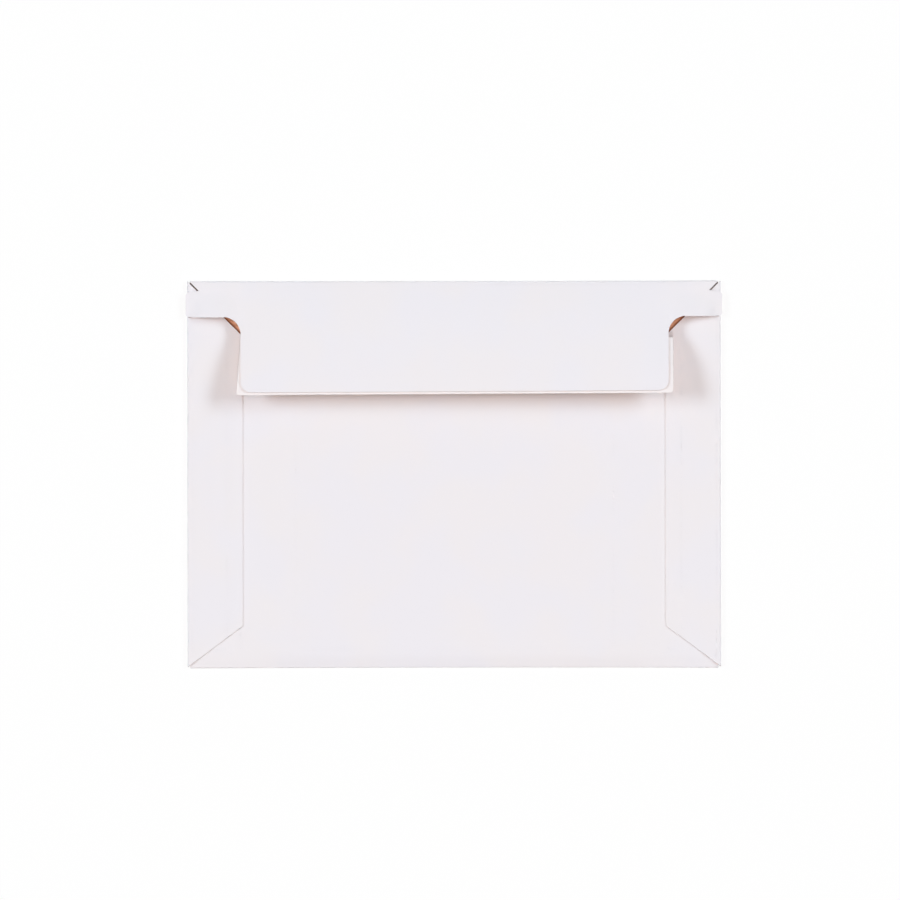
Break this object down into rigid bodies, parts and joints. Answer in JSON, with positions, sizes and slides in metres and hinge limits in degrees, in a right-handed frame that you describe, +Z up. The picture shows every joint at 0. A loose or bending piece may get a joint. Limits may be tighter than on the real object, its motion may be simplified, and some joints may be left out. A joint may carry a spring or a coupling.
{
  "type": "self-seal envelope",
  "caption": "Flat board mailer with mitred side flaps glued over its back and an eared closing flap standing open, its self-seal strip still under a release liner.",
  "frame": {"origin": "on the front panel's outer face, below the middle of the pack's bounding box", "axes": "+X along the closing fold (to the right in the picture), +Y up to the closing fold, +Z up out of the back"},
  "size_m": [0.2514, 0.1814, 0.015],
  "materials": {
    "white_board": "matte",
    "release_paper": "satin",
    "seal_adhesive": "gloss",
    "seam_glue": "satin"
  },
  "bodies": {
    "root": {"board_blank": "white_board", "release_liner": "release_paper", "seal_adhesive": "seal_adhesive", "left_seam_glue": "seam_glue", "right_seam_glue": "seam_glue"}
  },
  "joints": []
}
